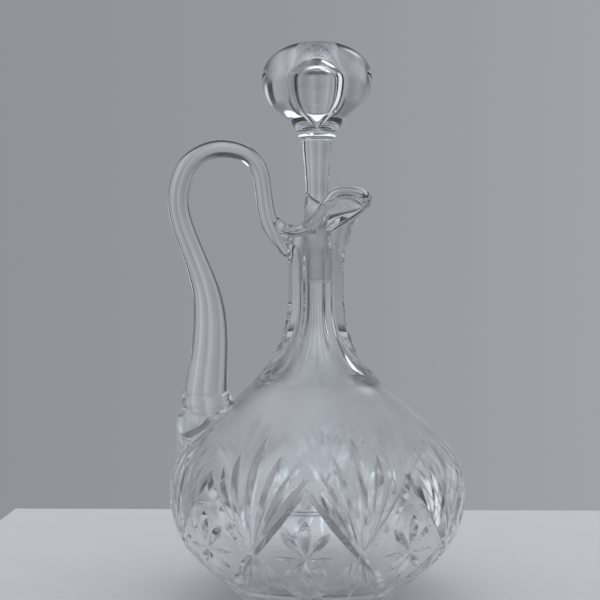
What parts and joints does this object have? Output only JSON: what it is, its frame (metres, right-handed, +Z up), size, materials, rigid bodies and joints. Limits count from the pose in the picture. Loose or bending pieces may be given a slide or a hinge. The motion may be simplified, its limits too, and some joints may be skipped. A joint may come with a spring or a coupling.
{
  "type": "cut crystal carafe",
  "caption": "Cut crystal carafe with a squat bowl, fluted neck, pouring lip, applied rod handle and a lift-out ground ball stopper.",
  "frame": {"origin": "centre of the foot, on the surface that the carafe stands on", "axes": "+Z up along the bowl and neck, +X towards the pouring spout, -X towards the handle"},
  "size_m": [0.1606, 0.1597, 0.301],
  "materials": {
    "crystal": "polished clear crystal",
    "ground_crystal": "clear shank with a finely ground, frosted cone"
  },
  "bodies": {
    "carafe": {"carafe_body": "crystal", "handle": "crystal", "handle_pad": "crystal"},
    "stopper": {"stopper_peg": "ground_crystal", "stopper_collar": "crystal", "stopper_knob": "crystal"}
  },
  "joints": [
    {"name": "stopper_lift", "type": "slide", "parent": "carafe", "child": "stopper", "axis": [0, 0, 1], "range_m": [0, 0.082]}
  ]
}
